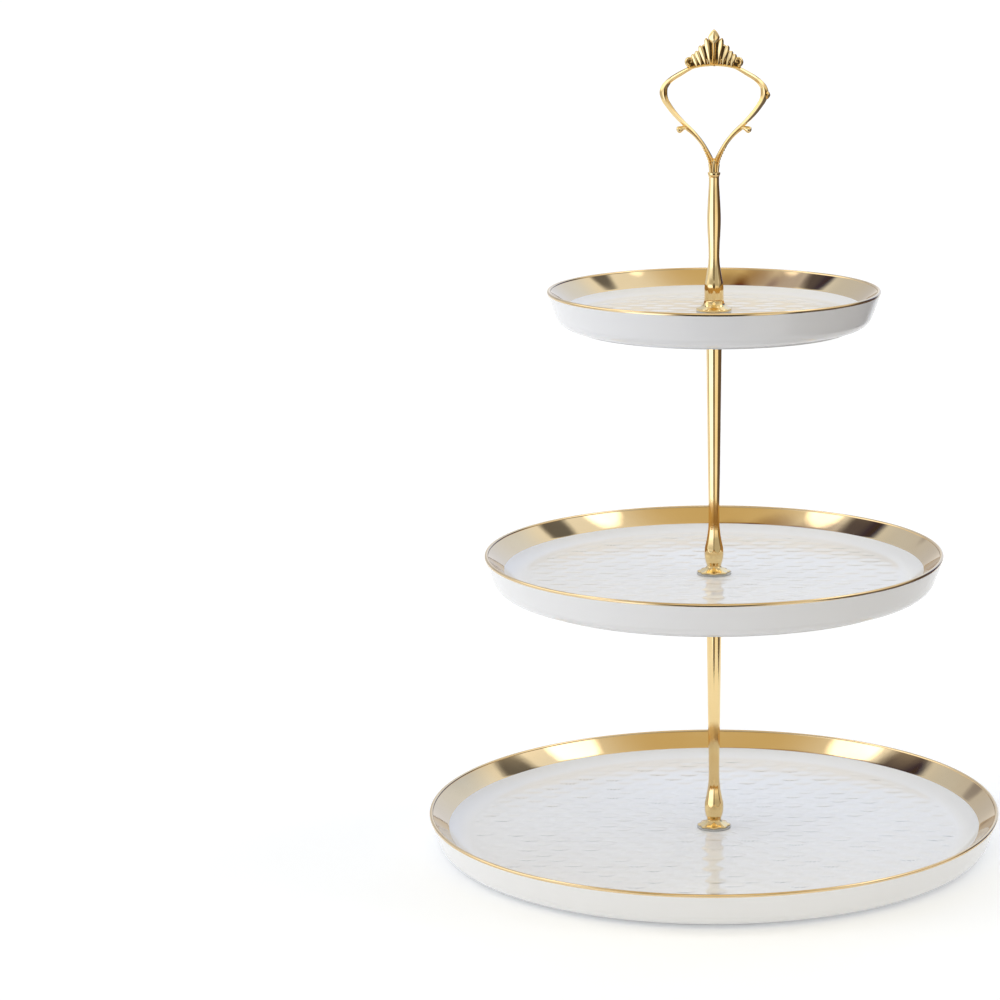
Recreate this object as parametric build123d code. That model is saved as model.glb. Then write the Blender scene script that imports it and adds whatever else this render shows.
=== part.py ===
from build123d import *

import os

# A three-tier cake stand: three porcelain plates on a cast, gold-plated centre column
# with a looped handle. Millimetres, +Z up. The origin is on the table, at the centre of
# the bottom plate's foot ring. The handle lies in the XZ plane and faces -Y.

# ---- Driving dimensions: plates -------------------------------------------------------
bottom_plate_radius = 127.0
middle_plate_radius = 101.0
top_plate_radius = 72.5
rim_height = 17.0            # foot ring to rim
lip_width = 1.6              # rounded edge of the rim
band_width = 7.0             # sloping inner band, measured inward from the lip
band_drop = 7.0              # how far the band falls below the rim
floor_curve_width = 9.5      # from the band's foot to the flat floor
floor_thickness = 3.2
wall_lean = 3.9              # how far the outer wall leans in on its way down
wall_bottom_height = 5.5     # where the outer wall turns under
foot_inset = 12.2            # rim to the outside of the foot ring
foot_ring_width = 3.2
foot_ring_height = 1.2
foot_ring_draft = 1.5        # slope on the inside of the foot ring
foot_notch = 0.8             # small step above the foot ring
turn_bulge = 1.4             # how far the turn under the wall bows outward
band_hollow = 0.3            # how far the band's section is hollowed
floor_curve_hollow = 0.77    # the same for the curve from the band to the floor
plate_hole_radius = 4.0

# ---- Driving dimensions: fasteners and washers ----------------------------------------
thread_radius = 2.0          # M4 studs and screw
thread_fit = 0.05            # radial clearance of a stud in its socket
thread_engagement = 8.1      # length of stud held in the socket above it
stud_seat_depth = 8.0        # length of stud fixed in the top of a rod
socket_spare_depth = 1.4     # clear space beyond the end of a stud
screw_head_radius = 4.5
screw_head_height = 1.4
screw_recess_depth = 0.8
screw_recess_width = 0.9
screw_recess_length = 4.6
screw_ground_gap = 0.5       # screw head to the table
steel_washer_radius = 6.0
steel_washer_thickness = 1.0
cushion_washer_radius = 7.0
cushion_washer_thickness = 0.8
collar_washer_radius = 7.7
collar_washer_thickness = 0.9
collar_depth = 2.4           # shoulder of the upper washer inside the plate's hole
collar_fit = 0.05            # radial clearance of the shoulder in the hole
washer_fit = 0.1             # radial clearance of a washer on its stud
pin_radius = 1.25            # stud that joins the stem to the loop
pin_depth = 5.0              # length of that stud in each of them

# ---- Driving dimensions: column -------------------------------------------------------
facets = 8
rod_length = 110.5
rod_foot_radius = 7.3
rod_foot_edge = 0.5
rod_foot_height = 2.7
rod_neck_radius = 3.15
rod_bulb_radius = 4.15
rod_bulb_height = 8.0
rod_waist_radius = 2.3
rod_waist_height = 19.4
rod_top_radius = 3.5
stem_length = 60.0
stem_disc_radius = 7.75
stem_disc_thickness = 1.1
stem_root_radius = 4.6
stem_shoulder_radius = 4.1
stem_shoulder_height = 11.0
stem_waist_radius = 2.3
stem_waist_height = 23.0
stem_belly_radius = 3.0
stem_belly_height = 39.5
stem_neck_radius = 2.25
stem_lip_radius = 2.8
stem_lip_height = 1.8
stem_lip_flare = 1.0         # height over which the neck opens out to the lip

# ---- Driving dimensions: handle loop --------------------------------------------------
loop_half_width = 23.4
loop_height = 45.5           # neck to the underside of the crown
loop_thickness = 3.4
loop_edge_chamfer = 0.7
crotch_wall = 0.9            # metal between the pin's socket and the crotch of the arms
bud_radius = 1.7
crown_half_width = 12.2
crown_height = 15.7
crown_thickness = 2.8
crown_sag = 1.2              # how far the crown's underside falls towards its ends
crown_overlap = 1.6          # how far the arms run up into the crown

# ---- Levels that follow from them -----------------------------------------------------
under_floor = screw_ground_gap + screw_head_height + steel_washer_thickness + cushion_washer_thickness
floor_level = under_floor + floor_thickness
foot_seat = floor_level + collar_washer_thickness
rod_end_seat = under_floor - cushion_washer_thickness - steel_washer_thickness
tier_spacing = rod_length + foot_seat - rod_end_seat
clamp_height = foot_seat - rod_end_seat
socket_depth = thread_engagement + socket_spare_depth
socket_radius = thread_radius + thread_fit
plate_levels = {"bottom": 0.0, "middle": tier_spacing, "top": 2 * tier_spacing}
plate_radii = {"bottom": bottom_plate_radius, "middle": middle_plate_radius, "top": top_plate_radius}
loop_base = plate_levels["top"] + foot_seat + stem_length


def at_height(solid, height):
    return Pos(0, 0, height) * solid


def disc(radius, height, start=0.0):
    solid = Cylinder(radius, height, align=(Align.CENTER, Align.CENTER, Align.MIN))
    return at_height(solid, start)


def ring(outer, inner, height, start=0.0):
    return disc(outer, height, start) - disc(inner, height, start)


def faceted(sections):
    """A column with flat facets, from (corner radius, height) sections, foot first."""
    outlines = [
        Plane.XY.offset(height) * RegularPolygon(radius, facets) for radius, height in sections
    ]
    return loft(outlines, ruled=True)


def bowed(start, end, bow):
    """An arc from start to end, bowed to the right of that direction by bow."""
    chord = Vector(*end) - Vector(*start)
    middle = Vector(*start) + chord * 0.5
    outward = Vector(chord.Y, -chord.X).normalized()
    return ThreePointArc(start, middle + outward * bow, end)


def plate(radius):
    """A shallow porcelain dish with a foot ring and a centre hole."""
    foot_outer = radius - foot_inset
    foot_inner = foot_outer - foot_ring_width
    lip_base = rim_height - lip_width / 2
    hole_low = (plate_hole_radius, under_floor)
    recess_edge = (foot_inner - foot_ring_draft, under_floor)
    notch = (foot_outer, foot_ring_height)
    under_edge = (foot_outer + foot_notch, foot_ring_height)
    wall_foot = (radius - wall_lean, wall_bottom_height)
    lip_outer = (radius, lip_base)
    lip_inner = (radius - lip_width, lip_base)
    band_foot = (lip_inner[0] - band_width, rim_height - band_drop)
    floor_edge = (band_foot[0] - floor_curve_width, floor_level)
    hole_high = (plate_hole_radius, floor_level)
    outline = [
        Polyline(hole_low, recess_edge, (foot_inner, 0), (foot_outer, 0), notch, under_edge),
        bowed(under_edge, wall_foot, turn_bulge),
        Line(wall_foot, lip_outer),
        ThreePointArc(lip_outer, (radius - lip_width / 2, rim_height), lip_inner),
        bowed(lip_inner, band_foot, -band_hollow),
        bowed(band_foot, floor_edge, -floor_curve_hollow),
        Polyline(floor_edge, hole_high, hole_low),
    ]
    return revolve(Plane.XZ * make_face(outline), Axis.Z)


def collar_washer():
    """Clear washer above a plate, with a shoulder that centres the stud in the hole."""
    shoulder = disc(plate_hole_radius - collar_fit, collar_depth, -collar_depth)
    washer = disc(collar_washer_radius, collar_washer_thickness) + shoulder
    height = collar_washer_thickness + collar_depth
    return washer - disc(thread_radius + washer_fit, height, -collar_depth)


def cushion_washer():
    """Clear flat washer between a plate's underside and the steel washer."""
    return ring(cushion_washer_radius, thread_radius + washer_fit, cushion_washer_thickness)


def steel_washer():
    return ring(steel_washer_radius, thread_radius + washer_fit, steel_washer_thickness)


def base_screw():
    """Low-headed screw with a cross recess; it enters from below the bottom plate."""
    shank = disc(thread_radius, clamp_height + thread_engagement, rod_end_seat)
    head = disc(screw_head_radius, screw_head_height, screw_ground_gap)
    slot = Box(screw_recess_length, screw_recess_width, screw_recess_depth)
    recess = slot + Rot(0, 0, 90) * slot
    return shank + head - at_height(recess, screw_ground_gap + screw_recess_depth / 2)


def stud():
    """Threaded stud fixed in a rod's top end; it runs up through the next plate."""
    return disc(thread_radius, stud_seat_depth + clamp_height + thread_engagement)


def rod():
    """Faceted rod: flared foot, bulb, waist, then a slow taper out to its top end."""
    body = faceted(
        [
            (rod_foot_radius, 0),
            (rod_foot_radius, rod_foot_edge),
            (rod_neck_radius, rod_foot_height),
            ((rod_neck_radius + 2 * rod_bulb_radius) / 3, (rod_foot_height + rod_bulb_height) / 2),
            (rod_bulb_radius, rod_bulb_height),
            ((2 * rod_bulb_radius + rod_waist_radius) / 3, (2 * rod_bulb_height + rod_waist_height) / 3),
            (rod_waist_radius, rod_waist_height),
            (rod_top_radius, rod_length),
        ]
    )
    foot_socket = disc(socket_radius, socket_depth)
    return body - foot_socket - disc(socket_radius, stud_seat_depth, rod_length - stud_seat_depth)


def handle_stem():
    """Faceted spindle between the top plate and the loop, on a round foot disc."""
    body = faceted(
        [
            (stem_root_radius, 0),
            (stem_shoulder_radius, stem_shoulder_height),
            (stem_waist_radius, stem_waist_height),
            (stem_belly_radius, stem_belly_height),
            (stem_neck_radius, stem_length - stem_lip_height - stem_lip_flare),
            (stem_lip_radius, stem_length - stem_lip_height),
            (stem_lip_radius, stem_length),
        ]
    )
    body += disc(stem_disc_radius, stem_disc_thickness)
    pin_socket = disc(pin_radius + thread_fit, pin_depth, stem_length - pin_depth)
    return body - disc(socket_radius, socket_depth) - pin_socket


def handle_stud():
    return disc(pin_radius, 2 * pin_depth, -pin_depth)


def on_loop(across, up):
    """A point of the loop's outline, from its shares of the half width and of the height."""
    return (across * loop_half_width, up * loop_height)


def loop_arm():
    """Right half of the loop's outline, from the crown down to the neck."""
    at = on_loop
    top = loop_height + crown_overlap
    outer = Spline(
        (at(0.41, 0)[0], top),
        at(0.64, 0.955),
        at(0.81, 0.90),
        at(0.94, 0.83),
        at(1.0, 0.755),
        at(0.91, 0.64),
        at(0.786, 0.55),
        at(0.60, 0.45),
    )
    strand = Spline(at(0.57, 0.375), at(0.39, 0.33), at(0.26, 0.26), at(0.175, 0.185), at(0.092, 0))
    inner = Spline(
        (0, pin_depth + crotch_wall),
        at(0.20, 0.292),
        at(0.534, 0.486),
        at(0.70, 0.582),
        at(0.85, 0.72),
        at(0.786, 0.842),
        at(0.534, 0.927),
        at(0.30, 0.975),
    )
    edges = [
        outer,
        Line(outer @ 1, strand @ 0),
        strand,
        Line(strand @ 1, (0, 0)),
        Line((0, 0), inner @ 0),
        inner,
        Line(inner @ 1, (0, loop_height)),
        Line((0, loop_height), (0, top)),
        Line((0, top), outer @ 0),
    ]
    return make_face(edges)


def crown_half():
    """Right half of the crown: a centre leaf, three stepped fronds and an end curl."""
    width = crown_half_width

    def at(across, up):
        return (across * width, loop_height + up * crown_height)

    sag = crown_sag / crown_height
    edge = [
        at(0, 1.0),
        at(0.14, 0.88),
        at(0.28, 0.74),
        at(0.25, 0.67),
        at(0.40, 0.62),
        at(0.53, 0.52),
        at(0.48, 0.44),
        at(0.62, 0.40),
        at(0.71, 0.31),
        at(0.69, 0.25),
        at(0.86, 0.29),
        at(1.0, 0.21),
        at(0.98, 0.11),
        at(0.88, 0.03),
        at(0.80, -sag),
        at(0.45, 0.25 * -sag),
        at(0, 0),
    ]
    return make_face(Polyline(*edge, close=True))


def upright(half, thickness):
    """A plate standing in the XZ plane, from the right half of its outline."""
    return extrude(Plane.XZ * (half + mirror(half, Plane.YZ)), thickness / 2, both=True)


def handle_loop():
    """Looped handle with a crown on top, cast in one piece and seated on the stem."""
    arms = upright(loop_arm(), loop_thickness)
    faces = arms.faces().sort_by(Axis.Y)
    arms = chamfer(faces[0].edges() + faces[-1].edges(), loop_edge_chamfer)
    buds = upright(Pos(*on_loop(0.61, 0.413)) * Circle(bud_radius), loop_thickness)
    crown = upright(crown_half(), crown_thickness)
    return arms + buds + crown - disc(pin_radius + thread_fit, pin_depth)


def build():
    """Every separate piece, by name, in its place."""
    pieces = {}
    for name, level in plate_levels.items():
        pieces[f"{name}_plate"] = at_height(plate(plate_radii[name]), level)
        pieces[f"{name}_collar_washer"] = at_height(collar_washer(), level + floor_level)
        cushion_level = level + under_floor - cushion_washer_thickness
        pieces[f"{name}_cushion_washer"] = at_height(cushion_washer(), cushion_level)
        pieces[f"{name}_steel_washer"] = at_height(steel_washer(), cushion_level - steel_washer_thickness)
    pieces["base_screw"] = base_screw()
    for name, below in (("lower", "bottom"), ("middle", "middle")):
        foot = plate_levels[below] + foot_seat
        pieces[f"{name}_rod"] = at_height(rod(), foot)
        pieces[f"{name}_stud"] = at_height(stud(), foot + rod_length - stud_seat_depth)
    pieces["handle_stem"] = at_height(handle_stem(), loop_base - stem_length)
    pieces["handle_stud"] = at_height(handle_stud(), loop_base)
    pieces["handle_loop"] = at_height(handle_loop(), loop_base)
    return pieces


os.makedirs("parts", exist_ok=True)
for name, solid in build().items():
    export_step(solid, f"parts/{name}.step")
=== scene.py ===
# %% [markdown]
# # A three-tier cake stand
# Three porcelain plates with a gilded rim hang on a cast, gold-plated column. The column is
# screwed together through a hole in each plate, and ends in a looped handle with a crown.
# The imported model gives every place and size. This file makes the surfaces and finishes.

# %% Load the frame
import math

import bpy
import numpy as np
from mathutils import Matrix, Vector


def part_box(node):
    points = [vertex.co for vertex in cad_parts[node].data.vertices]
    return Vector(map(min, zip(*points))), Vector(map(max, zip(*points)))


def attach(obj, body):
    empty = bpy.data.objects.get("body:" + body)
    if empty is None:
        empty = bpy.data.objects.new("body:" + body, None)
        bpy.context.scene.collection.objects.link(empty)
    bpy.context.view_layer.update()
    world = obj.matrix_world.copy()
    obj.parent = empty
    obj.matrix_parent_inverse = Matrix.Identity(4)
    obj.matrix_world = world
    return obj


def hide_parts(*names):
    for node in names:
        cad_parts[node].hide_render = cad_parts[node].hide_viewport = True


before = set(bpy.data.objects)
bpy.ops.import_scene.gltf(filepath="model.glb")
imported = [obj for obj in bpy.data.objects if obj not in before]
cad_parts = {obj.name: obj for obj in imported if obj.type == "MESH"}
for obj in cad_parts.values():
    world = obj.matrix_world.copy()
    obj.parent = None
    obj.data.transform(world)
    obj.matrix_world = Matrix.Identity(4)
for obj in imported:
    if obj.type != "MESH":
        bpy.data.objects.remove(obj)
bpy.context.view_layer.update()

MM = 0.001
full_turn = 2 * math.pi

# %% [markdown]
# Sizes come from the model itself, in millimetres, so that a piece can't drift away from
# the solid it stands for. A node's box gives its foot and its radius.

# %% Measure the model
tiers = ("bottom", "middle", "top")


def foot_of(node):
    """Height of a node's lowest point, in mm."""
    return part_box(node)[0][2] / MM


def height_of(node):
    """Height of a node from its lowest point to its highest, in mm."""
    low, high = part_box(node)
    return (high[2] - low[2]) / MM


def radius_of(node):
    """Radius of a node that stands on the Z axis, in mm."""
    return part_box(node)[1][0] / MM


for tier in tiers:
    node = f"{tier}_plate"
    print(tier, "plate radius", round(radius_of(node), 2), "at", round(foot_of(node), 2))

# %% [markdown]
# Everything here was thrown, cast or turned, so every surface is a grid of rings. A ring
# can be round or faceted, and a stack of rings can be closed at its ends or joined into a
# loop. One function turns any such grid into faces that point outwards.

# %% Rings into a closed skin
def shell(rows, looped=False):
    """Faces of a grid of rings: each point joins the next one round and the next ring up.

    A looped stack also joins its last ring to its first. Otherwise a fan of triangles
    closes each end round its middle. A negative enclosed volume means inside out, and
    then every face is reversed.
    """
    count, steps = rows.shape[:2]
    points = rows.reshape(-1, 3)
    here = np.arange(steps)
    after = (here + 1) % steps
    low = np.arange(count if looped else count - 1)[:, None]
    high = (low + 1) % count
    corners = [low * steps + here, low * steps + after, high * steps + after, high * steps + here]
    quads = np.stack(corners, axis=-1).reshape(-1, 4)
    fans = np.zeros((0, 3), dtype=int)
    if not looped:
        first, last = len(points), len(points) + 1
        points = np.vstack([points, rows[0].mean(axis=0), rows[-1].mean(axis=0)])
        top = (count - 1) * steps
        start = np.stack([after, here, np.full(steps, first)], axis=-1)
        end = np.stack([top + here, top + after, np.full(steps, last)], axis=-1)
        fans = np.vstack([start, end])
    triangles = np.vstack([quads[:, [0, 1, 2]], quads[:, [0, 2, 3]], fans])
    a, b, c = (points[triangles[:, k]] for k in range(3))
    if np.sum(a * np.cross(b, c)) < 0:
        quads, fans = quads[:, ::-1], fans[:, ::-1]
    return points, quads, fans


print("skin maker ready")

# %% [markdown]
# A piece is one mesh made of one or more closed skins, so bars that cross need no joining.
# It rides on the body that carries the real part, and names the solids it stands for.

# %% Skins into one piece that rides on a body
def piece(name, shells, body, finish, nodes=(), marks=None, crease=38):
    """One mesh object from closed skins, in metres, with its finish, body and CAD nodes."""
    points, faces, offset = [], [], 0
    for skin_points, quads, fans in shells:
        points.append(skin_points)
        faces += (quads + offset).tolist() + (fans + offset).tolist()
        offset += len(skin_points)
    mesh = bpy.data.meshes.new(name)
    mesh.from_pydata((np.vstack(points) * MM).tolist(), [], faces)
    for mark, values in (marks or {}).items():
        layer = mesh.attributes.new(mark, "FLOAT", "POINT")
        layer.data.foreach_set("value", values.astype(np.float32))
    mesh.shade_smooth()
    mesh.set_sharp_from_angle(angle=math.radians(crease))
    mesh.materials.append(finish)
    made = bpy.data.objects.new(name, mesh)
    bpy.context.scene.collection.objects.link(made)
    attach(made, body)
    if nodes:
        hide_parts(*nodes)
    print(f"{name}: {len(faces)} faces on {body}")
    return made


print("piece maker ready")

# %% [markdown]
# Finishes are built from nodes. Written as plain sums they are easier to read, so a small
# class stands for a socket, and arithmetic on it adds the Math nodes.

# %% Arithmetic on sockets
class Reading:
    """A number or colour that varies over the surface."""

    def __init__(self, paint, socket):
        self.paint = paint
        self.socket = socket

    def maths(self, operation, first, second):
        return self.paint.node("ShaderNodeMath", {"operation": operation}, {0: first, 1: second})

    def __add__(self, other):
        return self.maths("ADD", self, other)

    def __sub__(self, other):
        return self.maths("SUBTRACT", self, other)

    def __rsub__(self, other):
        return self.maths("SUBTRACT", other, self)

    def __mul__(self, other):
        return self.maths("MULTIPLY", self, other)

    __radd__ = __add__
    __rmul__ = __mul__


class Paint:
    """The node sheet of one finish."""

    def __init__(self, name, owner=None):
        self.owner = owner or bpy.data.materials.new(name)
        self.owner.use_nodes = True
        self.tree = self.owner.node_tree
        self.tree.nodes.clear()

    def node(self, kind, settings=None, sockets=None, output=0):
        made = self.tree.nodes.new(kind)
        for key, value in (settings or {}).items():
            setattr(made, key, value)
        for key, value in (sockets or {}).items():
            if isinstance(value, Reading):
                self.tree.links.new(value.socket, made.inputs[key])
            else:
                made.inputs[key].default_value = value
        return Reading(self, made.outputs[output]) if made.outputs else None

    def place(self):
        return self.node("ShaderNodeTexCoord", output=3)

    def cloud(self, scale, detail=3.0):
        """Soft random variation from 0 to 1, scale patches to the metre."""
        sockets = {"Vector": self.place(), "Scale": scale, "Detail": detail}
        return self.node("ShaderNodeTexNoise", None, sockets)

    def ramp(self, value, low, high, start=0.0, end=1.0):
        """Smooth step from start to end while value goes from low to high."""
        settings = {"interpolation_type": "SMOOTHSTEP"}
        return self.node("ShaderNodeMapRange", settings, {0: value, 1: low, 2: high, 3: start, 4: end})

    def mix(self, share, first, second):
        """First colour where share is 0, second where it is 1."""
        return self.node("ShaderNodeMix", {"data_type": "RGBA"}, {0: share, 6: first, 7: second}, 2)

    def mark(self, name):
        """A number that the mesh carries at each of its points."""
        return self.node("ShaderNodeAttribute", {"attribute_name": name}, output=2)

    def bump(self, height, strength, distance):
        sockets = {"Height": height, "Strength": strength, "Distance": distance}
        return self.node("ShaderNodeBump", None, sockets)

    def close(self, sockets):
        shader = self.node("ShaderNodeBsdfPrincipled", None, sockets)
        self.node("ShaderNodeOutputMaterial", None, {"Surface": shader})
        return self.owner


print("finish tools ready")

# %% [markdown]
# Curves between measured points. A founder's pattern is a run of smooth swells between a
# few known radii, so a cubic through those points gives the same line.

# %% A smooth line through points
def flow(knots, count):
    """Points on a smooth cubic through the knots, evenly shared between them.

    Each knot's slope is the slope between its two neighbours. Between two knots the
    Hermite cubic blends their places and slopes.
    """
    knots = np.asarray(knots, dtype=float)
    span = np.linspace(0, len(knots) - 1, count)
    start = np.minimum(span.astype(int), len(knots) - 2)
    t = (span - start)[:, None]
    slope = np.gradient(knots, axis=0)
    a, b = knots[start], knots[start + 1]
    return (
        (2 * t**3 - 3 * t**2 + 1) * a
        + (t**3 - 2 * t**2 + t) * slope[start]
        + (3 * t**2 - 2 * t**3) * b
        + (t**3 - t**2) * slope[start + 1]
    )


def level_line(knots, heights):
    """Radius at each height, by a cubic through (height, radius) knots that never overshoots.

    The slope at a knot is the harmonic mean of the slopes on its two sides, and none
    where they differ in sign.
    """
    z, r = np.asarray(knots, dtype=float).T
    rise = np.diff(r) / np.diff(z)
    slope = np.zeros_like(r)
    same = rise[:-1] * rise[1:] > 0
    slope[1:-1][same] = 2 * (rise[:-1] * rise[1:])[same] / (rise[:-1] + rise[1:])[same]
    slope[0], slope[-1] = rise[0], rise[-1]
    k = np.clip(np.searchsorted(z, heights, side="right") - 1, 0, len(z) - 2)
    wide = (z[1:] - z[:-1])[k]
    t = np.clip((heights - z[k]) / wide, 0, 1)
    return (
        (2 * t**3 - 3 * t**2 + 1) * r[k]
        + (t**3 - 2 * t**2 + t) * wide * slope[k]
        + (3 * t**2 - 2 * t**3) * r[k + 1]
        + (t**3 - t**2) * wide * slope[k + 1]
    )


def rounded(corners, steps=5):
    """A closed outline of (radius, height, rounding) corners, each softened.

    Round a corner runs a quadratic curve that starts and ends the rounding's length away
    from it and is pulled towards it.
    """
    corners = np.asarray(corners, dtype=float)
    place, size = corners[:, :2], corners[:, 2:]
    back = np.roll(place, 1, axis=0) - place
    on = np.roll(place, -1, axis=0) - place
    start = place + back / np.linalg.norm(back, axis=1)[:, None] * size
    end = place + on / np.linalg.norm(on, axis=1)[:, None] * size
    t = np.linspace(0, 1, steps)[None, :, None]
    curve = (1 - t) ** 2 * start[:, None] + 2 * t * (1 - t) * place[:, None] + t**2 * end[:, None]
    return curve.reshape(-1, 2)


def turned(outline, level=0.0, steps=96):
    """Rings from an outline of (radius, height) points: each point is swung round Z."""
    angle = np.arange(steps) / steps * full_turn
    radius, height = outline[:, :1], outline[:, 1:]
    heights = height + level + 0 * angle
    return np.stack([radius * np.cos(angle), radius * np.sin(angle), heights], axis=-1)


def smooth_step(value, low, high):
    """0 below low and 1 above high, with a smooth S between them."""
    t = np.clip((value - low) / (high - low), 0, 1)
    return t * t * (3 - 2 * t)


print("curves ready")

# %% [markdown]
# ## Porcelain with a gilded rim
# The plates are white glazed porcelain. Bright gold is brushed on by hand over the glaze,
# down the inner slope of the rim, over its edge and a little way down the outside, and
# fired. One finish holds both. A mark on the mesh says how far each point is inside the
# gilding, and slight noise on that distance gives the brushed edge. The foot ring is
# wiped clean before firing, so it is matt.

# %% The plate's finish
# how far the brushed edge of the gold wanders, and half the width it fades over, in mm
brush_wander, brush_fade = 0.28, 0.05


def gilded_porcelain():
    paint = Paint("gilded_porcelain")
    wander = (paint.cloud(55.0) - 0.5) * brush_wander
    gilt = paint.ramp(paint.mark("gilding") + wander, -brush_fade, brush_fade)
    bare = paint.ramp(paint.mark("foot"), 0.35, 0.65)
    glaze_tint = paint.mix(paint.cloud(22.0), (0.82, 0.82, 0.82, 1), (0.86, 0.86, 0.86, 1))
    clay_tint = paint.mix(paint.cloud(900.0), (0.66, 0.64, 0.60, 1), (0.74, 0.72, 0.68, 1))
    gold_tint = paint.mix(paint.cloud(38.0), (0.72, 0.52, 0.27, 1), (0.80, 0.62, 0.37, 1))
    # painted shade: a dark grey dash along the front edge of many floor hollows
    shaded_glaze = paint.mix(paint.mark("shade_dash"), glaze_tint, (0.27, 0.28, 0.29, 1))
    body_tint = paint.mix(bare, shaded_glaze, clay_tint)
    ripple = paint.cloud(260.0, 1.0)
    grit = paint.cloud(2600.0, 2.0)
    height = ripple * 0.35 + grit * bare
    shine = 0.05 + paint.cloud(90.0) * 0.04 - gilt * 0.02 + bare * 0.5
    return paint.close(
        {
            "Base Color": paint.mix(gilt, body_tint, gold_tint),
            "Metallic": gilt,
            "Roughness": shine,
            "Normal": paint.bump(height, 0.06, 0.0004),
        }
    )


# %% [markdown]
# ## Plated casting
# The column is cast zinc, polished and gold plated. Plating is brightest on the swells
# that the polishing mop reaches; this finish gives only a tone that drifts slightly along the casting.

# %% Gold plate, steel and clear plastic
def plated_gold():
    paint = Paint("plated_gold")
    tone = paint.cloud(70.0, 4.0)
    grain = paint.cloud(1800.0, 2.0)
    return paint.close(
        {
            "Base Color": paint.mix(tone, (0.79, 0.56, 0.24, 1), (0.92, 0.73, 0.40, 1)),
            "Metallic": 1.0,
            "Roughness": 0.05 + tone * 0.06,
            "Normal": paint.bump(grain, 0.05, 0.00008),
        }
    )


def bright_steel():
    """Zinc-plated steel: fine turning marks run round the part, so they vary with height."""
    paint = Paint("bright_steel")
    rings = {"wave_type": "RINGS", "rings_direction": "Z"}
    spread = {"Vector": paint.place(), "Scale": 900.0, "Distortion": 1.5}
    turning = paint.node("ShaderNodeTexWave", rings, spread, 1)
    tone = paint.cloud(240.0)
    return paint.close(
        {
            "Base Color": paint.mix(tone, (0.50, 0.50, 0.50, 1), (0.66, 0.66, 0.65, 1)),
            "Metallic": 1.0,
            "Roughness": 0.24 + tone * 0.14,
            "Normal": paint.bump(turning, 0.12, 0.00006),
        }
    )


def clear_plastic():
    paint = Paint("clear_plastic")
    haze = paint.cloud(420.0)
    return paint.close(
        {
            "Base Color": paint.mix(haze, (0.92, 0.94, 0.95, 1), (0.97, 0.98, 0.98, 1)),
            "Roughness": 0.08 + haze * 0.10,
            "Alpha": 0.34 + haze * 0.14,
            "Normal": paint.bump(haze, 0.08, 0.0001),
        }
    )


porcelain, gold, steel, clear = gilded_porcelain(), plated_gold(), bright_steel(), clear_plastic()
print("finishes", [m.name for m in (porcelain, gold, steel, clear)])

# %% [markdown]
# ## The hammered floor
# The flat of each plate carries shallow oval hollows in staggered rows, pressed into the
# clay before firing. A bump map would vanish in the gloss, so the hollows are real. On the
# steep near edge of many, a short grey dash of painted shade is laid into the glaze's colour.

# %% Oval hollows in staggered rows
# the cells and the ovals in them, in mm
hollow_across, hollow_deep = 13.8, 7.3
hollow_half_width, hollow_half_length, hollow_depth = 4.9, 3.0, 0.22
# how far an oval strays from its cell's middle, as a share of the cell
stray_across, stray_deep = 0.30, 0.34
# where the painted shade dash's peak lies and how wide it is, as shares of the oval, and its strength
shade_dash_line, shade_dash_width, shade_dash_strength = 0.96, 0.21, 1.25
# the chance below which a hollow has no painted shade dash, and above which it has a full one
shade_dash_none, shade_dash_full = 0.42, 0.85


def hammered(x, y):
    """Depth of the floor at a point, in mm, and how much painted shade lies there, 0 to 1.

    Space is cut into staggered cells. Each holds an oval hollow, shifted a little by a
    number made from its row and column. The depth falls as one minus the fourth power of
    the distance from the oval's middle, so that it is flat inside and steep at its edge.
    The painted shade is a narrow peak at that edge, kept only where the edge faces the front.
    """
    depth, shade_dash = np.zeros_like(x), np.zeros_like(x)
    for down in (-1, 0, 1):
        row = np.floor(y / hollow_deep) + down
        shift = 0.5 * np.mod(row, 2)
        for side in (-1, 0, 1):
            column = np.floor(x / hollow_across - shift) + side
            # the fraction of a large sine is as good as a random number
            chance = np.mod(np.sin(row * 12.99 + column * 78.23) * 437.6, 1.0)
            second = np.mod(chance * 57.3, 1.0)
            middle_x = (column + 0.5 + shift + stray_across * (chance - 0.5)) * hollow_across
            middle_y = (row + 0.5 + stray_deep * (second - 0.5)) * hollow_deep
            across, along = (x - middle_x) / hollow_half_width, (y - middle_y) / hollow_half_length
            reach = across**2 + along**2
            depth = np.maximum(depth, np.clip(1 - reach**2, 0, 1) * (0.75 + 0.25 * second))
            # painted shade: the dark dash is kept only on the edge that faces the front
            frontal = np.clip((middle_y - y) / hollow_half_length, 0, 1) ** 4
            peak = shade_dash_strength - np.abs(np.sqrt(reach) - shade_dash_line) / shade_dash_width
            peak = np.clip(peak, 0, 1) * frontal
            shade_dash = np.maximum(shade_dash, peak * smooth_step(chance, shade_dash_none, shade_dash_full))
    return depth * hollow_depth, shade_dash


probe_line = np.linspace(-50, 50, 400)
probe, _ = hammered(*np.meshgrid(probe_line, probe_line))
covered, deepest = round(float((probe > 0.02).mean()), 2), round(float(probe.max()), 2)
print("hollows cover", covered, "of the floor, deepest", deepest, "mm")

# %% [markdown]
# ## The plates
# A plate is one outline swung round its axis: the flat floor, a soft curve up to the
# gilded slope, a rounded lip, the outer wall, and underneath it a turn, the foot ring and
# the recess that hides the washers. The outline is closed, so the centre hole is too.

# %% The plate's outline
# heights of the floor, the recess underneath, the slope's foot and the lip, in mm
floor_level, recess_level, slope_level, lip_level = 6.9, 3.7, 10.0, 16.2
# how far in from the rim the floor ends, the slope starts and the foot ring stands, in mm
floor_inset, slope_inset, foot_inset = 18.1, 8.6, 12.2
hole_radius, chamfer, lip_round = 4.0, 0.35, 0.8


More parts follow.
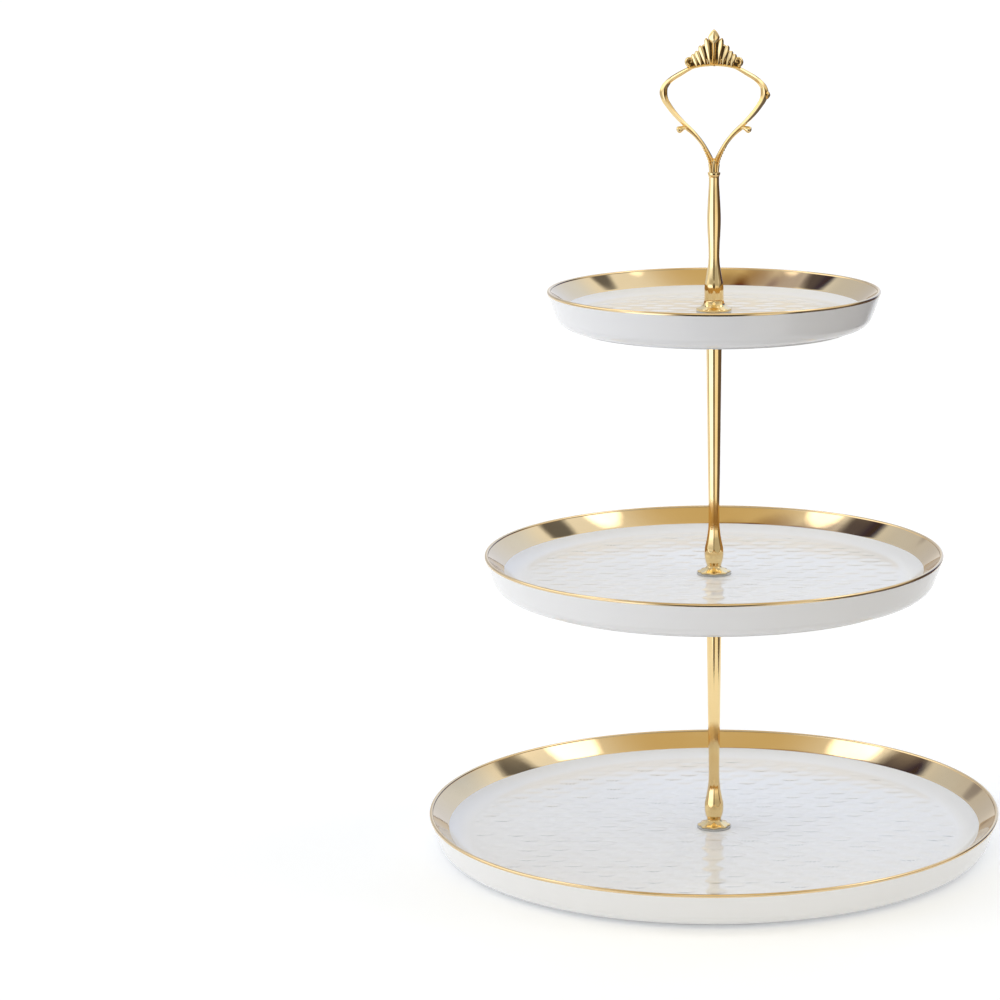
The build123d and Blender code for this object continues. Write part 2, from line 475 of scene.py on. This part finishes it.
def bowed(start, end, bow, steps):
    """A run of points from start to end, pushed sideways by a parabola that peaks at bow."""
    start, end = np.array(start, dtype=float), np.array(end, dtype=float)
    t = np.linspace(0, 1, steps, endpoint=False)[:, None]
    along = end - start
    sideways = np.array([along[1], -along[0]]) / np.linalg.norm(along)
    return start + along * t + sideways * bow * 4 * t * (1 - t)


def plate_outline(radius, floor_steps):
    """(radius, height) points round a plate's section, and where each stretch starts."""
    hole, floor, under, lip = hole_radius, floor_level, recess_level, lip_level
    floor_end, slope_start = (radius - floor_inset, floor), (radius - slope_inset, slope_level)
    foot = radius - foot_inset
    t = np.linspace(0, np.pi, 11, endpoint=False)[:, None]
    edge = np.hstack([radius - lip_round - lip_round * np.cos(t), lip + lip_round * np.sin(t)])
    runs = [
        bowed((hole, floor - chamfer), (hole + chamfer, floor), 0.0, 3),
        bowed((hole + chamfer, floor), floor_end, 0.0, floor_steps),
        bowed(floor_end, slope_start, 0.77, 12),
        bowed(slope_start, (radius - 2 * lip_round, lip), 0.06, 10),
        edge,
        bowed((radius, lip), (radius - 3.9, 5.5), 0.0, 10),
        bowed((radius - 3.9, 5.5), (foot + 0.8, 1.2), -1.4, 12),
        bowed((foot + 0.8, 1.2), (foot, 1.2), 0.0, 2),
        bowed((foot, 1.2), (foot - 0.4, 0.0), 0.15, 4),
        bowed((foot - 0.4, 0.0), (foot - 2.9, 0.0), 0.0, 4),
        bowed((foot - 2.9, 0.0), (foot - 4.7, under), 0.2, 6),
        bowed((foot - 4.7, under), (hole, under), 0.0, 14),
        bowed((hole, under), (hole, floor - chamfer), 0.0, 3),
    ]
    return np.vstack(runs)


section = plate_outline(radius_of("bottom_plate"), 100)
print("the bottom plate's section has", len(section), "points")

# %% [markdown]
# The hollows fade out near the collar and near the wall, and the gilding is measured along
# the outline, so one brushed edge lies on the slope and the other outside the lip.

# %% The three plates
# the hollows fade in between two radii, and out between two insets from the rim, in mm
middle_fade, wall_fade = (8.6, 11.5), (21.5, 18.6)
# how far the gold comes down outside the lip, and how high the wiped foot reaches, in mm
gilt_overlap, wiped_height = 0.55, 0.3


def plate(tier, floor_steps, steps):
    """One plate: its outline swung round, hollows pressed in, and its finish marked on it."""
    node = f"{tier}_plate"
    radius, level = radius_of(node), foot_of(node)
    outline = plate_outline(radius, floor_steps)
    rings = turned(outline, 0.0, steps)
    from_axis, height = outline[:, :1], outline[:, 1:]
    near_wall = smooth_step(from_axis, radius - wall_fade[0], radius - wall_fade[1])
    fade = smooth_step(from_axis, *middle_fade) * (1 - near_wall)
    depth, shade_dash = hammered(rings[..., 0], rings[..., 1])
    share = np.where(np.isclose(height, floor_level), fade, 0)
    rings[..., 2] -= share * depth
    rings[..., 2] += level
    run = np.concatenate([[0], np.cumsum(np.linalg.norm(np.diff(outline, axis=0), axis=1))])
    to_slope = np.hypot(from_axis - (radius - slope_inset), height - slope_level)[:, 0]
    to_lip = np.hypot(from_axis - radius, height - lip_level)[:, 0]
    inner_edge, outer_edge = run[np.argmin(to_slope)], run[np.argmin(to_lip)] + gilt_overlap
    gilding = np.minimum(run - inner_edge, outer_edge - run)
    foot = (height < wiped_height)[:, 0].astype(float)
    marks = {
        "gilding": np.repeat(gilding, steps),
        "foot": np.repeat(foot, steps),
        "shade_dash": (share * shade_dash).ravel(),
    }
    skin = shell(rings, looped=True)
    return piece(f"{tier}_dish", [skin], f"{tier}_tier", porcelain, [node], marks)


for tier, floor_steps, steps in (("bottom", 100, 512), ("middle", 80, 480), ("top", 56, 400)):
    plate(tier, floor_steps, steps)

# %% [markdown]
# ## The cast column
# Both rods are the same casting: a thin eight-pointed foot, a round bulb, then eight long
# facets cut down the bulb as on a sharpened pencil, and a shaft that widens slowly upwards.
# The facets are flat planes, so the rod is the smaller of a round radius and a faceted one.
# Polishing wears the shaft's corners rounder than those of the bulb, so it has its own rings.

# %% Eight-sided rings
sides, column_steps = 8, 128
# the thread's hole: its radius, the radius of its mouth and its depth, in mm
tapped_radius, mouth_radius, tapped_depth = 2.05, 2.25, 9.5


def facet_reach(angle, crisp):
    """Share of the corner radius that an eight-sided outline reaches at an angle.

    Every side limits the reach to its distance over the cosine of the angle from its
    middle. A high power mean of those limits keeps flat sides and slightly soft edges.
    """
    middles = (np.arange(sides) + 0.5) * full_turn / sides
    facing = np.clip(np.cos(angle[:, None] - middles), 0, None)
    reach = 1 / (facing**crisp).sum(axis=1) ** (1 / crisp)
    return reach / reach.max()


def rings_of(radii, heights, angle):
    """Rings from a radius for every height and angle."""
    heights = np.broadcast_to(heights[:, None], radii.shape)
    return np.stack([radii * np.cos(angle), radii * np.sin(angle), heights], axis=-1)


def bore(radius, heights):
    """Round rings of one radius at the heights given, for a hole."""
    heights = np.asarray(heights, dtype=float)
    return turned(np.stack([np.full(len(heights), radius), heights], axis=1), 0.0, column_steps)


def tapped_hole():
    """Rings from the blind end of the thread's hole down to its mouth in the foot."""
    return [bore(tapped_radius, (tapped_depth, 5.0, 0.2)), bore(mouth_radius, (0.0,))]


column_angle = np.arange(column_steps) / column_steps * full_turn
eight, eight_worn = facet_reach(column_angle, 40.0), facet_reach(column_angle, 15.0)
points_of_eight = np.abs(np.cos(sides / 2 * column_angle))
print("facet reach from", round(float(eight.min()), 3), "to", round(float(eight.max()), 3))

# %% The rods
def rod(name, body, length):
    """A rod: the smaller of its round and its faceted radius at each height, then its bores.

    Each line holds (height, radius) knots in mm, from the foot upwards.
    """
    foot_line = [
        (0, 7.1), (0.12, 7.3), (0.5, 7.3), (0.75, 6.6),
        (1.1, 5.6), (1.6, 4.55), (2.1, 3.75), (2.7, 3.15),
    ]
    bulb_line = [
        (3.6, 3.32), (5.0, 3.78), (6.5, 4.1), (8.0, 4.2),
        (9.5, 4.14), (12.0, 3.95), (15.0, 3.75), (20, 3.6),
    ]
    flat_line = [
        (0, 9.0), (8.0, 4.95), (8.9, 4.52), (11.0, 4.0),
        (13.5, 3.45), (16.4, 2.92), (19.4, 2.58),
    ]
    shaft_line = [(23.0, 2.40), (27.0, 2.38), (45.0, 2.66), (75.0, 3.05), (length, 3.5)]
    foot_heights, bulb_heights = np.linspace(0, 3.2, 34), np.linspace(3.4, 20, 84)
    heights = np.concatenate([foot_heights, bulb_heights, np.linspace(21, length - 0.25, 56)])
    round_radius = level_line(foot_line + bulb_line + [(length, 9.0)], heights)[:, None]
    worn = smooth_step(heights, 17.0, 24.0)[:, None]
    eight_here = worn * eight_worn + (1 - worn) * eight
    flat_radius = level_line(flat_line + shaft_line, heights)[:, None] * eight_here
    pointed = 1 - smooth_step(heights, 1.6, 3.4)[:, None]
    hollow = 1 - 0.075 * (1 - points_of_eight) * (1 - smooth_step(heights, 0.6, 2.6)[:, None])
    foot_radius = round_radius * (pointed * eight * hollow + (1 - pointed))
    outer = rings_of(np.minimum(foot_radius, flat_radius), heights, column_angle)
    end = rings_of(np.array([[3.35]]) * eight_worn, np.array([length]), column_angle)
    socket = [bore(2.2, (length,)), bore(tapped_radius, (length - 0.2, length - 8.0))]
    rows = np.vstack(tapped_hole() + [outer, end] + socket)
    rows[..., 2] += foot_of(name)
    return piece(f"{name}_casting", [shell(rows)], body, gold, [name], crease=24)


for name, body in (("lower_rod", "lower_column"), ("middle_rod", "middle_column")):
    rod(name, body, height_of(name))

# %% [markdown]
# The stem above the top plate is a second casting: a lobed disc, a root parted by eight
# short seams, a narrow waist, a slim faceted belly, and a thin cup that holds the loop.

# %% The stem
def stem(length):
    """The stem: a radius for each height, lobed at the disc, faceted above it, round at the cup.

    Each line holds (height, radius) knots in mm, from the foot upwards.
    """
    disc_line = [(0, 7.45), (0.15, 7.7), (0.7, 7.75), (1.05, 7.45), (1.4, 6.6), (2.0, 5.5), (3.1, 4.62)]
    root_line = [
        (5.0, 4.27), (8.0, 4.21), (11.0, 4.05), (14.0, 3.5),
        (16.9, 3.02), (20.0, 2.6), (23.5, 2.36),
    ]
    belly_line = [
        (28.0, 2.47), (34.0, 2.82), (39.7, 3.0), (46.0, 2.78),
        (52.0, 2.42), (55.5, 2.24), (57.4, 2.24),
    ]
    cup_line = [(58.4, 2.42), (59.0, 2.72), (59.7, 2.78), (length, 2.7)]
    stretches = ((0, 3.2, 30), (3.4, 13.5, 62), (14, 56.9, 60), (57.2, length, 20))
    heights = np.concatenate([np.linspace(*stretch) for stretch in stretches])
    radius = level_line(disc_line + root_line + belly_line + cup_line, heights)[:, None]
    lobed = 1 - smooth_step(heights, 1.2, 2.8)[:, None]
    cupped = smooth_step(heights, 57.4, 58.6)[:, None]
    lobes = 1 - 0.045 * (1 - np.sqrt(points_of_eight))
    faceted = (1 - lobed) * (1 - cupped)
    shape = lobed * lobes + cupped + faceted * eight_worn
    seam = 0.30 * (1 - smooth_step(1 - points_of_eight, 0.0, 0.16))
    seam = seam * smooth_step(heights, 2.8, 4.4)[:, None]
    seam = seam * (1 - smooth_step(heights, 4.5, 9.5)[:, None])
    outer = rings_of(radius * shape - seam, heights, column_angle)
    cup = [bore(2.3, (length, length - 0.7)), bore(1.3, (length - 0.75, length - 5))]
    rows = np.vstack(tapped_hole() + [outer] + cup)
    rows[..., 2] += foot_of("handle_stem")
    skin = shell(rows)
    return piece("handle_stem_casting", [skin], "handle", gold, ["handle_stem"], crease=24)


stem(height_of("handle_stem"))

# %% [markdown]
# ## Fasteners and washers
# Threads show once a rod is unscrewed, so they are real. A thread is a ridge that climbs
# one pitch for each turn, so its radius depends on height and angle together.

# %% Threads
pitch, groove_depth = 0.7, 0.24
rings_per_pitch = 9
# a thread's end is cut back over this height, by this much for each mm of it
end_cut, end_slope = 0.5, 0.9
thread_steps = 48
thread_angle = np.arange(thread_steps) / thread_steps * full_turn


def thread_radii(heights, low, high, angle, radius=2.0):
    """Radius of a right-hand thread: a triangle wave of height less angle, faded at its ends."""
    phase = np.mod(heights[:, None] / pitch - angle / full_turn, 1.0)
    groove = groove_depth * (1 - np.abs(2 * phase - 1))
    from_end = np.clip(np.minimum(heights - low, high - heights), 0, end_cut)[:, None]
    return radius - groove - (end_cut - from_end) * end_slope


def stud(name, body):
    low, high = foot_of(name), foot_of(name) + height_of(name)
    heights = np.linspace(low, high, int((high - low) / pitch * rings_per_pitch))
    rows = rings_of(thread_radii(heights, low, high, thread_angle), heights, thread_angle)
    return piece(f"{name}_threaded", [shell(rows)], body, steel, [name], crease=50)


for name, body in (("lower_stud", "lower_column"), ("middle_stud", "middle_column")):
    stud(name, body)

# %% [markdown]
# The column hangs on one screw under the bottom plate. Its head is low, so that the plate
# still stands on its foot ring. The driver's cross is pressed into the face of the head,
# so that face is a disc of rings pushed in by the depth of the cross.

# %% The screw under the bottom plate
# half the width and length of the cross's bars, its depth and the run of its walls, in mm
bar_half_width, bar_half_length, cross_depth, cross_wall = 0.49, 2.34, 0.8, 0.08
# rings on the face, and how far above the face the shank starts, in mm
face_rings, shank_start = 46, 1.45


def cross_recess(x, y):
    """Depth of the driver's cross: full where a point is inside either of its two bars."""
    x, y = np.abs(x), np.abs(y)
    in_x, past_x = (smooth_step(half - x, 0, cross_wall) for half in (bar_half_width, bar_half_length))
    in_y, past_y = (smooth_step(half - y, 0, cross_wall) for half in (bar_half_width, bar_half_length))
    return cross_depth * np.maximum(np.minimum(in_x, past_y), np.minimum(in_y, past_x))


def base_screw():
    """The screw: the pressed face, the side of the head, and the threaded shank."""
    low = foot_of("base_screw")
    high = low + height_of("base_screw")
    flat = np.stack([np.linspace(0.06, 4.1, face_rings), np.full(face_rings, low)], axis=1)
    face = turned(flat, 0.0, column_steps)
    face[..., 2] += cross_recess(face[..., 0], face[..., 1])
    side = [(4.35, 0.08), (4.5, 0.3), (4.5, 1.2), (4.42, 1.38), (2.4, 1.4)]
    head = turned(np.array([(radius, low + up) for radius, up in side]), 0.0, column_steps)
    shank_rings = int((high - low - shank_start) / pitch * rings_per_pitch)
    heights = np.linspace(low + shank_start, high, shank_rings)
    # counted from the face, the thread's low end is inside the head, so only the far one is cut
    shank = rings_of(thread_radii(heights, low, high, column_angle), heights, column_angle)
    skin = shell(np.vstack([face, head, shank]))
    return piece("base_screw_turned", [skin], "base_fastener", steel, ["base_screw"])


base_screw()

# %% [markdown]
# Washers are punched or moulded rings with soft edges. The clear ones keep metal off the
# glaze: a flat one below each plate, and one above it with a sleeve inside the hole.

# %% Washers
# the hair of air on a washer's faces, and its hole's radius, in mm
seat_gap, washer_bore = 0.02, 2.1
# the collar's sleeve: its height and its radius, in mm
sleeve_height, sleeve_radius = 2.4, 3.95


def washer(name, body, corners, finish):
    """A washer from its section. The air on its faces keeps it from cutting its neighbours."""
    outline = rounded(corners)
    outline[:, 1] = np.clip(outline[:, 1], seat_gap, height_of(name) - seat_gap)
    skin = shell(turned(outline, foot_of(name)), looped=True)
    return piece(f"{name}_ring", [skin], body, finish, [name])


def flat_ring(node, rounding):
    """The four corners of a flat washer's section, as (radius, height, rounding)."""
    inner, outer, thick = washer_bore, radius_of(node), height_of(node)
    return [(inner, 0, rounding), (outer, 0, rounding), (outer, thick, rounding), (inner, thick, rounding)]


carriers = {
    "bottom": ("base_fastener", "bottom_tier"),
    "middle": ("lower_column", "lower_column"),
    "top": ("middle_column", "middle_column"),
}
for tier in tiers:
    steel_body, cushion_body = carriers[tier]
    node = f"{tier}_steel_washer"
    washer(node, steel_body, flat_ring(node, 0.2), steel)
    node = f"{tier}_cushion_washer"
    washer(node, cushion_body, flat_ring(node, 0.25), clear)
    node = f"{tier}_collar_washer"
    top, wide = height_of(node), radius_of(node)
    corners = [
        (washer_bore, 0, 0.15), (sleeve_radius, 0, 0.25), (sleeve_radius, sleeve_height, 0.12),
        (wide, sleeve_height, 0.25), (wide, top, 0.3), (washer_bore, top, 0.15),
    ]
    washer(node, f"{tier}_collar", corners, clear)

# %% [markdown]
# A plain pin joins the stem to the loop. It is hidden once they are together, so it is a
# turned rod with its ends chamfered.

# %% The pin in the loop
pin_radius, pin_length = radius_of("handle_stud"), height_of("handle_stud")
pin_end = pin_radius - 0.25
pin_line = [(pin_end, 0), (pin_radius, 0.3), (pin_radius, pin_length - 0.3), (pin_end, pin_length)]
pin_rows = turned(np.array(pin_line), foot_of("handle_stud"), 48)
piece("handle_stud_pin", [shell(pin_rows)], "handle", steel, ["handle_stud"])

# %% [markdown]
# ## The looped handle
# The loop is cast in one with its crown. Each side is two strands: a main bar that runs
# from the crown round to the neck, and a thinner one that starts in a bud and follows it
# down. The bars have a soft diamond section, so one edge catches the light.

# %% A bar along a path
def drawn(path, half_width, half_depth, power=1.5, steps=28):
    """A bar along a path of (x, y, z) points, wide in the XZ plane and deep along Y.

    Each ring is a superellipse: cosine and sine raised to two over the power, with their
    signs kept. A power of 2 is an oval, and 1 is a diamond.
    """
    along = np.gradient(path, axis=0)
    length = np.hypot(along[:, 0], along[:, 2])[:, None]
    across = np.stack([along[:, 2], np.zeros(len(path)), -along[:, 0]], axis=1) / length
    angle = np.arange(steps) / steps * full_turn
    side = np.sign(np.cos(angle)) * np.abs(np.cos(angle)) ** (2 / power)
    front = np.sign(np.sin(angle)) * np.abs(np.sin(angle)) ** (2 / power)
    rows = path[:, None] + across[:, None] * (half_width[:, None] * side)[..., None]
    rows[..., 1] += half_depth[:, None] * front
    return rows


def bar(knots, count, power=1.5, mirror=1, steps=28):
    """A bar through knots of (x, y, z, half width, half depth)."""
    line = flow(knots, count)
    path = line[:, :3] * np.array([mirror, 1, 1])
    path[:, 2] += base
    return shell(drawn(path, line[:, 3], line[:, 4], power, steps))


base = foot_of("handle_loop")
print("the loop stands at", round(base, 2), "mm")

# %% [markdown]
# The bars' knots are (x, y, z, half width, half depth) in mm above the loop's foot, for
# the right-hand side. The left one is the same with x reversed.

# %% The two sides and the neck
main_bar = [
    (8.2, 0, 45.3, 0.80, 1.2), (10.6, 0, 44.3, 0.92, 1.3), (14.2, 0, 42.3, 1.08, 1.45),
    (18.1, 0, 39.9, 1.15, 1.5), (20.8, 0, 37.1, 1.38, 1.6), (21.65, 0, 34.4, 1.70, 1.65),
    (21.1, 0, 31.4, 1.50, 1.6), (19.4, 0, 28.5, 1.30, 1.5), (17.0, 0, 25.3, 1.20, 1.45),
    (13.3, 0, 21.3, 1.02, 1.35), (8.75, 0, 17.1, 0.86, 1.25), (5.2, 0, 12.9, 0.74, 1.2),
    (2.45, 0, 8.3, 0.80, 1.45), (1.0, 0, 4.9, 0.86, 1.6), (0.8, 0, -0.2, 0.86, 1.6),
]
side_bar = [
    (12.6, 0, 19.1, 0.55, 0.9), (11.3, 0, 18.2, 0.66, 1.1), (8.6, 0, 15.9, 0.62, 1.15),
    (5.6, 0, 12.3, 0.56, 1.1), (3.6, 0, 8.6, 0.68, 1.3), (2.12, 0, 4.8, 0.68, 1.35),
    (1.5, 0, -0.2, 0.6, 1.3),
]
bud = [
    (10.9, 0, 19.2, 0.35, 0.5), (12.2, 0, 19.3, 0.75, 0.9), (13.4, 0, 18.9, 1.05, 1.2),
    (14.6, 0, 18.4, 1.5, 1.6), (15.4, 0, 18.0, 1.45, 1.55), (15.95, 0, 17.75, 0.7, 0.8),
]
rope_pitch, rope_depth = 1.25, 0.36


def twisted(knots, count, mirror):
    """The side bar, with rope-like grooves cut round it just above the neck."""
    line = flow(knots, count)
    path = line[:, :3] * np.array([mirror, 1, 1])
    grip = smooth_step(path[:, 2], 2.5, 4.0) * (1 - smooth_step(path[:, 2], 9.0, 11.0))
    notch = 1 - rope_depth * grip * (0.5 + 0.5 * np.cos(path[:, 2] * full_turn / rope_pitch))
    path[:, 2] += base
    return shell(drawn(path, line[:, 3] * notch, line[:, 4] * notch, 1.7))


skins = []
for side in (1, -1):
    skins += [bar(main_bar, 170, 1.22, side), twisted(side_bar, 170, side), bar(bud, 40, 1.9, side)]
neck = [
    (0, 0, -0.3, 1.75, 1.4), (0, 0, 1.5, 1.7, 1.36), (0, 0, 3.4, 1.5, 1.36),
    (0, 0, 5.0, 1.0, 1.3), (0, 0, 6.0, 0.35, 0.7),
]
skins.append(bar(neck, 30, 1.8))
# the small knot outside the right-hand bend
side_knot = [
    (22.9, 0, 31.3, 0.15, 0.3), (23.0, 0, 32.4, 0.9, 1.2), (23.0, 0, 33.2, 1.15, 1.5),
    (23.0, 0, 34.1, 0.8, 1.1), (22.9, 0, 35.0, 0.15, 0.3),
]
skins.append(bar(side_knot, 25, 1.15))
piece("handle_loop_bars", skins, "handle", gold, ["handle_loop"], crease=32)

# %% [markdown]
# ## The crown
# The crown is a fan of fluted leaves in front of a thin web: a tall middle leaf with a
# ridge down it, four shorter ones on each side, and a curl at each end. Each leaf is a bar
# with a sharp diamond section that swells and then narrows to its tip.

# %% Leaves and curls
curl_x, curl_z, curl_reach, curl_shrink, curl_rings = 10.2, 47.5, 2.0, 0.27, 54


def leaf(root, tip, widest, deep, lean=0.5, mirror=1, slim=1.15):
    """A leaf from root to tip: its width swells to widest near two thirds of its height."""
    share = np.linspace(0, 1, 26)
    x = (root[0] + (tip[0] - root[0]) * share**1.25) * mirror
    z = root[1] + (tip[1] - root[1]) * share
    y = -0.35 - lean * share**3
    width = widest * (0.62 + 0.75 * share - 0.30 * share**2) * np.sqrt(np.clip(1.02 - share**5, 0, 1))
    depth = deep * (1 - 0.45 * share)
    path = np.stack([x, y, z + base], axis=1)
    return shell(drawn(path, width, depth, slim, 20))


def curl(mirror):
    """A scroll: a bar whose distance from the scroll's middle shrinks as it winds inwards."""
    turn = np.linspace(-0.5, 1.55, curl_rings)[:, None] * math.pi
    reach = curl_reach - curl_shrink * (turn + 0.5 * math.pi)
    x = (curl_x + reach * np.cos(turn)) * mirror
    z = curl_z + reach * np.sin(turn) + base
    path = np.hstack([x, 0 * turn - 0.2, z])
    taper = np.linspace(1.0, 0.6, curl_rings)
    return shell(drawn(path, 0.88 * taper, 1.3 * taper, 1.6, 18))


# (x, z) of each side leaf's root and tip, in mm above the loop's foot
leaves = [
    ((1.75, 45.7), (3.45, 57.4)),
    ((3.6, 45.6), (6.15, 54.2)),
    ((5.5, 45.3), (7.7, 51.9)),
    ((7.3, 44.9), (9.2, 50.6)),
]
skins = [leaf((0, 45.4), (0, 57.8), 1.1, 1.55, 0.3)]
for side in (1, -1):
    for root, tip in leaves:
        skins.append(leaf(root, tip, 1.34, 1.0, 0.45, side))
    skins.append(curl(side))
print(len(skins), "leaves and curls")

# %% [markdown]
# The web is an upright sheet behind the leaves. Its top follows their tips in steps, and
# its foot follows the rail that the crown stands on. A pointed cap hides the top of the fan.

# %% Cap, web and rail
cap = [
    (0, -0.5, 55.2, 1.0, 0.9), (0, -0.6, 56.6, 2.2, 1.15), (0, -0.7, 57.9, 2.4, 1.1),
    (0, -0.8, 59.3, 1.75, 1.0), (0, -0.9, 60.5, 0.9, 0.8), (0, -1.0, 61.1, 0.12, 0.2),
]
skins.append(bar(cap, 40, 1.3))
web_half = 11.4
across = np.linspace(-web_half, web_half, 90)
from_middle = [0, 2.2, 3.1, 3.3, 5.4, 5.9, 7.2, 7.6, web_half]
tip_heights = [58.6, 57.5, 56.7, 55.4, 54.4, 53.3, 52.0, 51.0, 48.7]
web_top = np.interp(np.abs(across), from_middle, tip_heights)
web_low = 45.75 - 1.35 * (across / 9.6) ** 2
web_path = np.stack([across, np.full_like(across, -0.15), (web_top + web_low) / 2 + base], axis=1)
upright_web = drawn(web_path, (web_top - web_low) / 2, np.full_like(across, 0.6), 3.5, 28)
# a ring leans with the path's slope, so each is stood upright again
upright_web[..., 0] = across[:, None]
skins.append(shell(upright_web))
rail = [
    (-10.3, -0.1, 44.4, 0.5, 1.15), (-5.2, -0.1, 45.55, 0.6, 1.3), (0, -0.1, 45.95, 0.62, 1.35),
    (5.2, -0.1, 45.55, 0.6, 1.3), (10.3, -0.1, 44.4, 0.5, 1.15),
]
skins.append(bar(rail, 70, 1.7))
piece("handle_crown", skins, "handle", gold, ["handle_loop"], crease=32)

# %% [markdown]
# ## The studio
# A glossy gold rim shows the room, so the room matters more than any lamp. The sky is an
# even white tent with a few soft boxes and dark gaps, each a smooth spot round a
# direction. Seen directly it is plain white, so the background stays clean.

# %% Floor
floor_paint = Paint("pale_floor")
floor_tint = floor_paint.mix(floor_paint.cloud(3.0), (0.90, 0.92, 0.95, 1), (0.92, 0.94, 0.97, 1))
floor_finish = floor_paint.close(
    {
        "Base Color": floor_tint,
        "Roughness": 0.9,
        "Emission Color": (1, 1, 1, 1),
        "Emission Strength": 0.18,
    }
)
# the floor lies a hair under the foot ring, and widens away from the front, in metres
near, far, floor_height = -0.27, 9.0, -0.0002
outline = [(-0.62, near), (0.25, near), (1.15, far), (-2.7, far)]
floor_mesh = bpy.data.meshes.new("studio_floor")
floor_mesh.from_pydata([(x, y, floor_height) for x, y in outline], [], [(0, 1, 2, 3)])
floor_mesh.materials.append(floor_finish)
studio_floor = bpy.data.objects.new("studio_floor", floor_mesh)
bpy.context.scene.collection.objects.link(studio_floor)
print("floor from", near, "to", far, "m")

# %% [markdown]
# The tent's light is a base tone with spots added to it. A bright spot is a soft box, and
# a negative one is a gap between the cloths. The sum never falls below a deep brown.

# %% Light tent
tent_tone, gap_tone, backdrop_strength = (0.955, 0.975, 0.995), (0.06, 0.045, 0.03), 1.1
# direction towards the spot, its half angle and softness in degrees, and its strength
spots = [
    ((0.0, 0.0, -1.0), 75, 15, (0.06, 0.09, 0.15)),
    ((0.0, 0.30, 0.95), 48, 18, (0.08, 0.13, 0.22)),
    ((0.0, -0.35, 0.94), 30, 14, (-0.30, -0.49, -0.86)),
    ((-0.08, 0.10, 0.99), 6.5, 3, (-0.34, -0.33, -0.22)),
    ((-0.24, 0.12, 0.96), 7, 3, (-0.36, -0.38, -0.30)),
    ((-0.41, 0.24, 0.88), 6.5, 3, (-0.46, -0.52, -0.50)),
    ((0.53, 0.10, 0.84), 7, 1.5, (2.0, 1.95, 1.85)),
    ((-0.53, 0.10, 0.84), 7, 1.5, (2.0, 1.9, 1.8)),
    ((0.57, 0.44, 0.70), 5.5, 2, (-0.86, -0.92, -1.0)),
    ((-0.56, 0.39, 0.73), 7.5, 2.5, (-0.92, -1.0, -1.08)),
    ((0.42, 0.86, 0.28), 20, 10, (-0.16, -0.06, 0.20)),
    ((-0.48, 0.80, 0.36), 24, 10, (-0.32, -0.30, -0.22)),
    ((-0.50, 0.80, 0.33), 3.5, 1.5, (-0.30, -0.34, -0.38)),
    ((0.0, -0.80, 0.60), 19, 6, (0.80, 0.84, 0.92)),
    ((0.88, 0.10, 0.46), 20, 10, (0.72, 0.69, 0.62)),
    ((-0.88, 0.10, 0.46), 20, 10, (0.72, 0.69, 0.62)),
    ((0.0, -1.0, -0.22), 58, 8, (-0.42, -0.45, -0.50)),
    ((-0.72, -0.66, -0.20), 19, 5, (1.3, 1.4, 1.7)),
    ((0.60, -0.78, -0.20), 14, 5, (0.58, 0.52, 0.40)),
    ((0.0, -1.0, -0.20), 27, 5, (-0.52, -0.54, -0.56)),
    ((0.96, 0.26, -0.20), 48, 8, (-0.84, -0.90, -0.95)),
    ((-0.95, 0.20, -0.20), 20, 6, (-0.34, -0.38, -0.44)),
]
world = bpy.data.worlds.new("light_tent")
bpy.context.scene.world = world
tent = Paint("light_tent", world)
look = tent.node("ShaderNodeTexCoord", output=0)
light = tent.node("ShaderNodeCombineXYZ", None, dict(enumerate(tent_tone)))
for direction, wide, soft, strength in spots:
    size = math.sqrt(sum(v * v for v in direction))
    unit = tuple(v / size for v in direction)
    facing = tent.node("ShaderNodeVectorMath", {"operation": "DOT_PRODUCT"}, {0: look, 1: unit}, 1)
    outer, inner = math.cos(math.radians(wide + soft)), math.cos(math.radians(wide - soft))
    inside = tent.ramp(facing, outer, inner)
    glow = tent.node("ShaderNodeVectorMath", {"operation": "SCALE"}, {0: strength, "Scale": inside})
    light = tent.node("ShaderNodeVectorMath", {"operation": "ADD"}, {0: light, 1: glow})
light = tent.node("ShaderNodeVectorMath", {"operation": "MAXIMUM"}, {0: light, 1: gap_tone})
seen = tent.node("ShaderNodeLightPath")
room = tent.node("ShaderNodeBackground", None, {"Color": light, "Strength": 1.0})
plain = tent.node("ShaderNodeBackground", None, {"Color": (1, 1, 1, 1), "Strength": backdrop_strength})
sky = tent.node("ShaderNodeMixShader", None, {0: seen, 1: room, 2: plain})
tent.node("ShaderNodeOutputWorld", None, {"Surface": sky})
bpy.context.scene.view_settings.view_transform = "Standard"
print("light tent with", len(spots), "spots")

# %% [markdown]
# ## The camera
# A long lens looks down a little, from about four stand heights away. The lens is shifted
# sideways so that the stand sits right of the middle without being turned.

# %% Camera
look_down = 11.57
lens = bpy.data.cameras.new("studio_camera")
lens.lens, lens.sensor_width = 119.5, 36.0
lens.shift_x = -0.214
camera = bpy.data.objects.new("studio_camera", lens)
camera.location = (0.0, -1.429, 0.449)
camera.rotation_euler = (math.radians(90 - look_down), 0.0, 0.0)
bpy.context.scene.collection.objects.link(camera)
bpy.context.scene.camera = camera
print("camera", tuple(round(v, 3) for v in camera.location))
